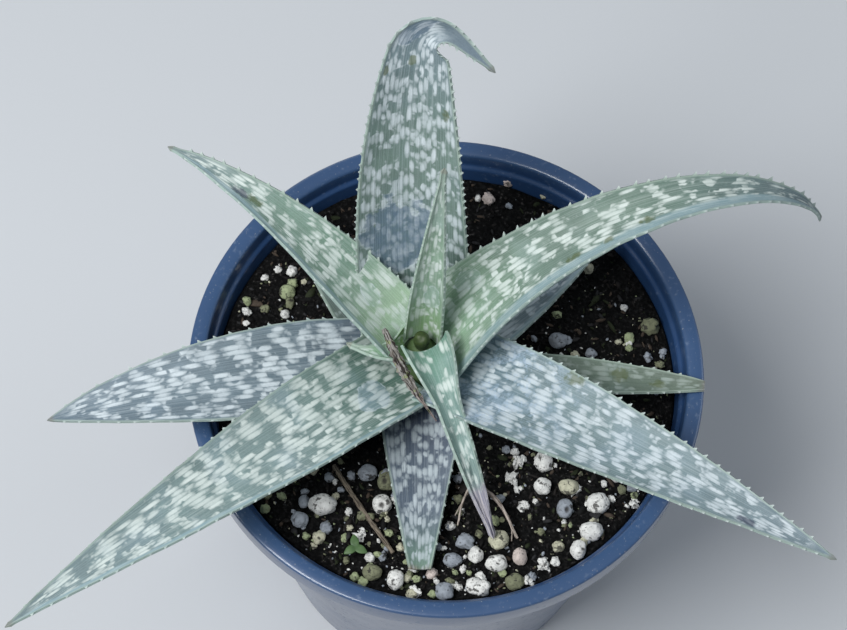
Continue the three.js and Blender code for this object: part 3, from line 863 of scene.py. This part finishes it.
def grow_leaf(
    azimuth, height, length, width, taper, thick, pitch, teeth, reach=8, droop=1.5, curl=(30, 25),
    swerve=0, clasp=0.92, end=0.985, hook=None, tooth_gap=4.3, uneven=0.35, shrivel=0, pointed=True,
):
    """One leaf's blade, as a bmesh. Angles are in degrees and sizes in millimetres. teeth are
    the lengths of the teeth on its left and right margins, seen from the stem."""
    rows = round(length * mm * end / row_gap)
    course = (azimuth, height, reach, length, pitch, droop, swerve, end, hook)
    t, path, along, side, up = leaf_path(rows, *course)
    narrow = 1 + (hook["narrow"] - 1) * soft_step(t, hook["from"], hook["to"]) if hook else 1
    swell = clasp + (1 - clasp) * soft_step(t, 0, 0.35)
    half = np.maximum(tip_half_width, width / 2 * mm * swell * narrow * (1 - t**taper))
    full = thick * mm * (0.65 + 0.35 * np.sin(math.pi * np.minimum(1, t * 1.6))) * (1 - t**2.5)
    full = np.maximum(edge_thick + 0.1 * mm, full)
    spread = np.radians(curl[0] + (curl[1] - curl[0]) * t)
    across = np.sin(np.linspace(-1, 1, half_around) * math.pi / 2)
    across = np.concatenate([across, across[::-1], across[:1]])
    upper = np.array([1.0] * half_around + [0.0] * half_around + [1.0])
    flesh = (full[:, None] - edge_thick) * np.maximum(0, 1 - across**2) ** 0.8
    depth = (edge_thick + flesh) * (1 - upper)
    bend = (half / spread)[:, None]
    angle = spread[:, None] * across
    sideways = (bend + depth) * np.sin(angle)
    rise = bend - (bend + depth) * np.cos(angle)
    places = path[:, None] + side[:, None] * sideways[..., None] + up[:, None] * rise[..., None]

    shape = bmesh.new()
    layer = {name: shape.verts.layers.float.new(name) for name in leaf_layers}
    columns = 2 * half_around
    bmesh.ops.create_grid(shape, x_segments=columns, y_segments=rows, size=0.5)
    grid = {}
    for vert in shape.verts:
        column = round((vert.co.x + 0.5) * columns)
        row = round((vert.co.y + 0.5) * rows)
        place = Vector(places[row, column])
        sway = noise.noise(place * 60) + 0.4 * noise.noise(place * 170)
        from_middle, from_stem = across[column], t[row] * length
        margin = from_middle**2 * noise.noise(Vector((from_stem / 9, from_middle * 3, azimuth)))
        lift = (sway * uneven + margin * uneven * 1.4) * min(1, 12 * t[row] + 0.2)
        wrinkle = noise.noise(Vector((from_middle * 2.5, from_stem / 7, azimuth + upper[column])))
        lift += shrivel * wrinkle * min(1, t[row] * 1.6) ** 2
        vert.co = place + Vector(up[row]) * lift * mm
        vert[layer["lane"]] = from_middle * math.sqrt(half[row] * half.max()) / mm
        vert[layer["along"]] = from_stem
        vert[layer["edge"]] = (1 - abs(from_middle)) * half[row] / mm
        vert[layer["upper"]] = upper[column]
        vert[layer["share"]] = t[row]
        grid[vert] = (row, column)

    margins = {}
    for face in shape.faces:
        spots = [grid[vert] for vert in face.verts]
        column = min(column for row, column in spots)
        if column in (half_around - 1, columns - 1):
            margins[min(row for row, column in spots), column] = face
    bearers = []
    for column, hand, tooth in ((columns - 1, -1, teeth[0]), (half_around - 1, 1, teeth[1])):
        row = 3
        while row < rows - 3:
            small = 0.6 + 0.4 * min(1, 4 * t[row])
            bearers.append((margins[row, column], row, hand, tooth * small * random.uniform(0.75, 1.15)))
            row += max(2, round(tooth_gap * mm / row_gap * small + random.uniform(-0.7, 0.7)))
    grown = bmesh.ops.extrude_discrete_faces(shape, faces=[bearer[0] for bearer in bearers])["faces"]
    for point, (_, row, hand, tooth) in zip(grown, bearers):
        outward = Vector(side[row]) * hand * math.cos(spread[row])
        outward += Vector(up[row]) * math.sin(spread[row])
        reach_out = (outward + Vector(along[row]) * tooth_lean) * tooth * mm
        middle = point.calc_center_median()
        for vert in point.verts:
            vert.co = middle + (vert.co - middle) * tooth_point + reach_out
            vert[layer["tooth"]] = 1
    bmesh.ops.remove_doubles(shape, verts=shape.verts, dist=0.001 * mm)
    rims = [edge for edge in shape.edges if edge.is_boundary]
    caps = bmesh.ops.holes_fill(shape, edges=rims, sides=0)["faces"]
    if pointed:
        last = max(caps, key=lambda face: (face.calc_center_median() - Vector(path[0])).length)
        spike = bmesh.ops.extrude_discrete_faces(shape, faces=[last])["faces"][0]
        centre = spike.calc_center_median()
        for vert in spike.verts:
            vert.co = centre + (vert.co - centre) * 0.15 + Vector(along[-1]) * spike_length
    bmesh.ops.recalc_face_normals(shape, faces=shape.faces)
    return shape


def leaf_skin(
    name, base, blade, tip, dash, lane_width=1.7, dash_gap=8, cover=0.9, bloom=0.15, frost=0,
    dry=None, flank=0, bare=0.96, spots=(), films=(), wax=(0.47, 0.6, 0.6),
):
    """The skin of one leaf. spots are (lane, along, radius, colour) and films (lane, along,
    half width, half length, strength), in millimetres. flank is how wide a pale band without
    dashes the right (or, below 0, the left) margin has, and bare is where the dashes end."""
    skin = Finish(name, 0.4)
    rise, blend, cloud = skin.rise, skin.blend, skin.cloud
    lane, along, edge, upper, share, tooth = [skin.read(layer) for layer in leaf_layers]

    def on_leaf(wide, long, seed, detail=2):
        """Noise on the leaf's own surface, with lumps of that width and length in millimetres."""
        sockets = {"X": lane / wide, "Y": along / long, "Z": seed + 3 * upper}
        spot = skin.node("CombineXYZ", {}, sockets, "Vector")
        return skin.node("TexNoise", {}, {"Vector": spot, "Scale": 1, "Detail": detail}, "Fac")

    def dice(x, y, seed):
        """Three random numbers from 0 to 1 for a cell."""
        spot = skin.node("CombineXYZ", {}, {"X": x, "Y": y, "Z": seed}, "Vector")
        colour = skin.node("TexWhiteNoise", {}, {"Vector": spot}, "Color")
        keys = ("Red", "Green", "Blue")
        return [skin.node("SeparateColor", {}, {"Color": colour}, key) for key in keys]

    crumble = cloud(0.9 * mm, 2) - 0.5
    clump = on_leaf(6.5, 5.5, 9)
    streaks = on_leaf(0.45, 7, 17, 3)

    def dashes(wide, gap, seed, amount):
        """Soft oval dashes, one to a cell of a lane, set out in wavy bands over the leaf."""
        lanes = lane / wide + 0.5 * (on_leaf(7, 22, seed) - 0.5) + 50 + seed * 0.37
        lane_number = skin.maths("FLOOR", lanes)
        off_lane = (lanes - lane_number - 0.5) / 0.56
        shift = dice(lane_number, 0, seed)[0]
        cells = along / gap + 1.6 * on_leaf(9, 40, seed + 5) + 0.4 * shift + 40
        cell_number = skin.maths("FLOOR", cells)
        luck, size, slide = dice(lane_number, cell_number, seed)
        off_cell = (cells - cell_number - 0.5 + 0.2 * (slide - 0.5)) / (0.26 + 0.3 * size)
        away = off_lane * off_lane + off_cell * off_cell + 0.8 * crumble
        oval = rise(away, 1.5, 0)
        there = rise(clump + 0.3 * (luck - 0.5), 0.61 - 0.21 * amount, 0.68 - 0.21 * amount)
        return oval * there * (0.7 + 0.3 * slide) * (0.7 + 0.6 * streaks)

    coarse = dashes(lane_width, dash_gap, 1, cover)
    fine = dashes(lane_width * 0.85, dash_gap * 0.55, 4, cover - 0.7)
    pale = skin.maths("MAXIMUM", coarse, 0.7 * fine)
    pale = pale * rise(edge, 0.3, 1.3) * rise(share, bare, bare - 0.06)

    tone = cloud(8 * mm, 3)
    speckle = cloud(0.45 * mm, 3)
    veins = rise(on_leaf(0.5, 60, 2), 0.4, 0.75)
    ground = blend(rise(share, 0.05, 0.35), base, blade)
    ground = blend(rise(share, 0.5, 0.95), ground, tip)
    ground = skin.shade(ground, 0.5 + 0.55 * tone + 0.45 * speckle)
    ground = blend(veins * 0.22 + rise(clump, 0.5, 0.7) * 0.1, ground, dash)
    if flank:
        side_only = rise(lane * math.copysign(1, flank), 1, 3)
        ragged = edge + 1.5 * (on_leaf(3, 30, 15) - 0.5)
        band = side_only * rise(ragged, abs(flank), abs(flank) * 0.6)
        pale = pale * (1 - 0.8 * band)
        band_colour = blend(veins, (0.26, 0.38, 0.42), (0.42, 0.53, 0.56))
        ground = blend(band * 0.75, ground, band_colour)
    colour = blend(pale * 0.92, ground, dash)

    below = blend(rise(on_leaf(0.7, 40, 7), 0.3, 0.7), (0.24, 0.35, 0.33), (0.36, 0.47, 0.45))
    colour = blend((1 - upper) * 0.65, colour, below)

    haze = rise(cloud(13 * mm, 4), 0.48, 0.75)
    colour = blend(haze * bloom, colour, wax)
    if frost:
        film = rise(on_leaf(6, 14, 12, 4) + 0.5 * crumble, 0.44, 0.6) * rise(share, 0.5, 0.12)
        flakes = rise(cloud(1.1 * mm, 4), 0.5, 0.62)
        colour = blend(film * (0.45 + 0.55 * flakes) * frost, colour, wax)
    for side_place, distance, half_width, half_length, strength in films:
        off_x = (lane - side_place) / half_width
        off_y = (along - distance) / half_length
        away = off_x * off_x + off_y * off_y + 2.6 * (cloud(6 * mm, 4) - 0.5)
        ring = rise(away, 0.8, 1) * rise(away, 1.2, 1) * rise(cloud(2 * mm, 2), 0.4, 0.6)
        film = rise(away, 1.05, 0.9) * (0.3 + 0.9 * cloud(1.5 * mm, 4))
        colour = blend(film * strength, colour, wax)
        colour = blend(ring * 0.55, colour, wax_ring_tint)
    for side_place, distance, radius, spot_colour in spots:
        off_x = (lane - side_place) / radius
        off_y = (along - distance) / (radius * 1.4)
        away = off_x * off_x + off_y * off_y + 3 * (cloud(1.8 * mm, 4) - 0.5)
        colour = blend(rise(away, 1.2, 0.2) * 0.7, colour, spot_colour)

    margin = rise(edge, 0.7, 0.12)
    colour = blend(margin * 0.55, colour, margin_tint)
    colour = blend(tooth * 0.85, colour, tooth_tint)
    if dry:
        withered = rise(along + 6 * (cloud(3 * mm, 3) - 0.5), dry[0], dry[0] + 4)
        crease = rise(on_leaf(0.9, 9, 20), 0.35, 0.65)
        colour = blend(withered * 0.9, colour, blend(crease, dry[1], dry[2]))
    else:
        colour = blend(rise(share, 0.97, 0.99) * 0.5, colour, dead_tip_tint)
    relief = 0.4 * pale + 0.5 * speckle + 0.5 * veins
    skin.paint(colour, 0.4 + 0.2 * speckle + 0.1 * pale, relief, 0.12 * mm)
    return skin


young_dash = (0.7, 0.77, 0.73)
old_dash = (0.65, 0.72, 0.75)
blue_wax = (0.42, 0.54, 0.68)
bruise = (0.05, 0.055, 0.1)
olive_spot = (0.09, 0.12, 0.04)

# The upright leaf in the middle
# It is the youngest unrolled leaf, narrow and pale green, with a patch of wax near its base.
random.seed(21)
blade = grow_leaf(
    azimuth=78.5, height=11, reach=4, length=79, width=14, taper=1.3, thick=2.6,
    pitch=(82, 77, 72), droop=3, curl=(60, 40), teeth=(0.25, 0.25), tooth_gap=3.5, uneven=0.2,
)
skin = leaf_skin(
    "skin_centre", (0.24, 0.39, 0.2), (0.24, 0.36, 0.26), (0.22, 0.31, 0.26), young_dash,
    cover=0.7, bloom=0.3, films=[(1, 22, 3, 5, 0.25)], lane_width=1.6, dash_gap=7,
)
add_piece(blade, "blade_centre", skin, "young_leaf", "leaf_centre_upright")

# The wilted leaf at the front
# It clasps the stem, folds down over the lower leaves, and is shrivelled and grey at its end.
blade = grow_leaf(
    azimuth=292, height=18, reach=4, length=62, width=8.8, taper=2.6, thick=1.6,
    pitch=(25, -24, -34), droop=1, curl=(75, 60), swerve=4, clasp=2.1,
    teeth=(0.2, 0.2), tooth_gap=4, uneven=0.3, shrivel=1.1,
)
skin = leaf_skin(
    "skin_wilted", (0.15, 0.28, 0.22), (0.19, 0.3, 0.27), (0.22, 0.26, 0.28), young_dash,
    dash_gap=5, cover=0.65, bloom=0.25, dry=(44, (0.27, 0.26, 0.34), (0.58, 0.54, 0.55)),
)
add_piece(blade, "blade_wilted", skin, "young_leaf", "leaf_front_wilted")

# The small leaf on the left
# A short pointed leaf, folded like a trough, bright green inside.
blade = grow_leaf(
    azimuth=208, height=13.5, reach=5, length=19, width=9, taper=1.1, thick=1.8,
    pitch=(35, 22, 12), droop=2, curl=(70, 50), swerve=-48, clasp=1.8,
    teeth=(0.15, 0.15), tooth_gap=4, uneven=0.15,
)
skin = leaf_skin(
    "skin_small", (0.13, 0.27, 0.06), (0.2, 0.35, 0.2), (0.32, 0.42, 0.34), young_dash,
    cover=0.4, bloom=0.25, lane_width=1.2, dash_gap=4,
)
add_piece(blade, "blade_small", skin, "young_leaf", "leaf_left_small")

# The leaf to the back left
# It stands up and out, with its tip curving down, and has one dark bruise past the middle.
blade = grow_leaf(
    azimuth=149, height=11, reach=5, length=99, width=25, taper=1.4, thick=4.2,
    pitch=(45, 40, -22), droop=2.3, curl=(45, 35), teeth=(0.25, 0.85), tooth_gap=4.2,
)
skin = leaf_skin(
    "skin_back_left", (0.42, 0.58, 0.4), (0.17, 0.27, 0.21), (0.15, 0.21, 0.22), young_dash,
    cover=0.85, flank=-2.4, spots=[(-2.2, 71, 2.2, bruise), (-1, 66, 2, olive_spot)],
    films=[(1.5, 20, 3, 4, 0.2)],
)
add_piece(blade, "blade_back_left", skin, "young_leaf", "leaf_back_left")

# The arched leaf on the right
# The longest leaf rises from the crown, arches over the rim and hangs its tip outside the pot.
blade = grow_leaf(
    azimuth=26, height=6, reach=6, length=160, width=29, taper=1.3, thick=4.4,
    pitch=(66, 50, -78), droop=1.95, curl=(40, 40), swerve=-16.5, clasp=1.15, teeth=(1.1, 0.3),
)
skin = leaf_skin(
    "skin_arched", (0.25, 0.38, 0.26), (0.135, 0.205, 0.165), (0.12, 0.175, 0.2), young_dash,
    cover=0.75, flank=5, films=[(-9, 26, 3, 5, 0.2)],
    spots=[(6.9, 62, 1.8, olive_spot), (7.4, 74, 1.6, olive_spot), (5, 86, 2, olive_spot)],
)
add_piece(blade, "blade_arched", skin, "young_leaf", "leaf_right_arched")

# The leaf to the front left
# A long broad leaf that reaches far out over the rim.
blade = grow_leaf(
    azimuth=222.5, height=4, reach=7, length=151, width=33.5, taper=1.6, thick=4.6,
    pitch=(28, 14, 4), droop=3, swerve=-1, teeth=(0.4, 0.5), tooth_gap=5,
)
skin = leaf_skin(
    "skin_front_left", (0.1, 0.18, 0.145), (0.18, 0.255, 0.25), (0.17, 0.235, 0.25), young_dash,
    cover=1, dash_gap=8.5, flank=-1.6, films=[(-2.7, 16.5, 5, 6, 0.35)], wax=blue_wax,
)
add_piece(blade, "blade_front_left", skin, "young_leaf", "leaf_front_left")

# The leaf to the front right
# A broad older leaf. Its base is frosted blue-white, and it has a bruise towards the tip.
blade = grow_leaf(
    azimuth=329.5, height=6, length=137, width=34, taper=1.6, thick=4.6,
    pitch=(28, 14, 4), droop=2, teeth=(0.8, 0.5), tooth_gap=3.8,
)
skin = leaf_skin(
    "skin_front_right", (0.1, 0.16, 0.19), (0.17, 0.24, 0.25), (0.16, 0.22, 0.25), old_dash,
    cover=0.95, dash_gap=6.5, frost=0.6, wax=blue_wax,
    spots=[(5.2, 109, 2.4, bruise), (-13, 42, 2.5, olive_spot)],
)
add_piece(blade, "blade_front_right", skin, "old_leaf", "leaf_front_right")

# The tall leaf at the back
# It stands nearly upright behind the crown, and its withered tip has folded over to the right.
blade = grow_leaf(
    azimuth=102, height=1, length=134, width=36, taper=2.8, thick=4.6,
    pitch=(58, 63, 50), droop=3, curl=(35, 40), swerve=-24, clasp=1,
    hook={"from": 0.755, "to": 0.895, "turn": -124, "narrow": 0.45}, teeth=(0.9, 0.9), tooth_gap=3,
)
# Its dark base colour is painted shade, and the dark wax tint paints shade into the real wax films on it.
skin = leaf_skin(
    "skin_tall", (0.05, 0.09, 0.08), (0.15, 0.22, 0.19), (0.15, 0.205, 0.25), old_dash,
    cover=1, dash_gap=6, lane_width=1.75, bare=0.88, wax=(0.12, 0.18, 0.27),
    films=[(-4, 40, 11, 14, 0.8), (-6.4, 109, 6, 5, 0.5)],
    spots=[(-2, 100, 1.6, olive_spot), (-12, 97, 1.2, olive_spot), (11.5, 84, 1.6, olive_spot)],
)
add_piece(blade, "blade_tall", skin, "old_leaf", "leaf_back_tall")

# The leaf on the left
# An older, darker leaf, level and blue-grey, that reaches over the rim.
blade = grow_leaf(
    azimuth=193, height=1, length=110, width=33, taper=2.6, thick=4.4,
    pitch=(22, 10, -20), droop=2, curl=(25, 20), teeth=(0.35, 0.7), tooth_gap=5.5,
)
skin = leaf_skin(
    "skin_left", (0.08, 0.11, 0.14), (0.13, 0.18, 0.21), (0.13, 0.18, 0.22), old_dash,
    cover=0.95, dash_gap=7.5, bloom=0.1, wax=blue_wax,
)
add_piece(blade, "blade_left", skin, "old_leaf", "leaf_left")

# The low leaf at the back right
# It lies under the arched leaf, and only its margin shows.
blade = grow_leaf(
    azimuth=37, height=-1, length=64, width=28, taper=1.8, thick=3.4,
    pitch=(20, 4, 0), teeth=(0.5, 0.4),
)
skin = leaf_skin(
    "skin_low_right", (0.1, 0.15, 0.17), (0.14, 0.2, 0.22), (0.13, 0.18, 0.24), old_dash,
    cover=0.8, bloom=0.4, flank=2, wax=blue_wax,
)
add_piece(blade, "blade_low_right", skin, "old_leaf", "leaf_back_right_low")

# The short leaf at the front
# It points straight at the front and lies on the mix. Its dead end has broken off.
blade = grow_leaf(
    azimuth=272, height=-2, length=73, width=30, taper=1.05, thick=3.2,
    pitch=(0, -3, -6), curl=(25, 20), end=0.79, teeth=(0.35, 0.35), pointed=False,
)
skin = leaf_skin(
    "skin_front_short", (0.03, 0.04, 0.08), (0.085, 0.115, 0.155), (0.15, 0.27, 0.17), (0.5, 0.57, 0.6),
    cover=1, dash_gap=5, lane_width=1.9, bloom=0.05, dry=(55, (0.1, 0.06, 0.04), (0.3, 0.25, 0.2)),
)
add_piece(blade, "blade_front_short", skin, "old_leaf", "leaf_front_short")

# The short leaf on the right
# A narrow, dull old leaf whose blunt dry end lies over the rim.
blade = grow_leaf(
    azimuth=357, height=-3, length=87, width=13.5, taper=3, thick=3,
    pitch=(6, 4, 0), end=0.92, teeth=(0.45, 0.45), pointed=False,
)
skin = leaf_skin(
    "skin_right_short", (0.1, 0.14, 0.13), (0.12, 0.17, 0.13), (0.14, 0.18, 0.14), (0.33, 0.39, 0.35),
    dash_gap=5, spots=[(-1.5, 54, 2.6, olive_spot), (1, 66, 2, olive_spot)],
    dry=(77, (0.12, 0.11, 0.1), (0.28, 0.28, 0.27)),
)
add_piece(blade, "blade_right_short", skin, "old_leaf", "leaf_right_short")

# The low leaf at the back left
# It lies under two larger leaves, and only one dull side of it shows.
blade = grow_leaf(
    azimuth=132, height=-1.5, length=58, width=29, taper=1.8, thick=2.8,
    pitch=(18, 4, 0), curl=(25, 20), teeth=(0.35, 0.35),
)
skin = leaf_skin(
    "skin_low_left", (0.07, 0.1, 0.1), (0.1, 0.14, 0.12), (0.11, 0.15, 0.14), (0.34, 0.4, 0.38),
    cover=0.7,
)
add_piece(blade, "blade_low_left", skin, "old_leaf", "leaf_back_left_low")
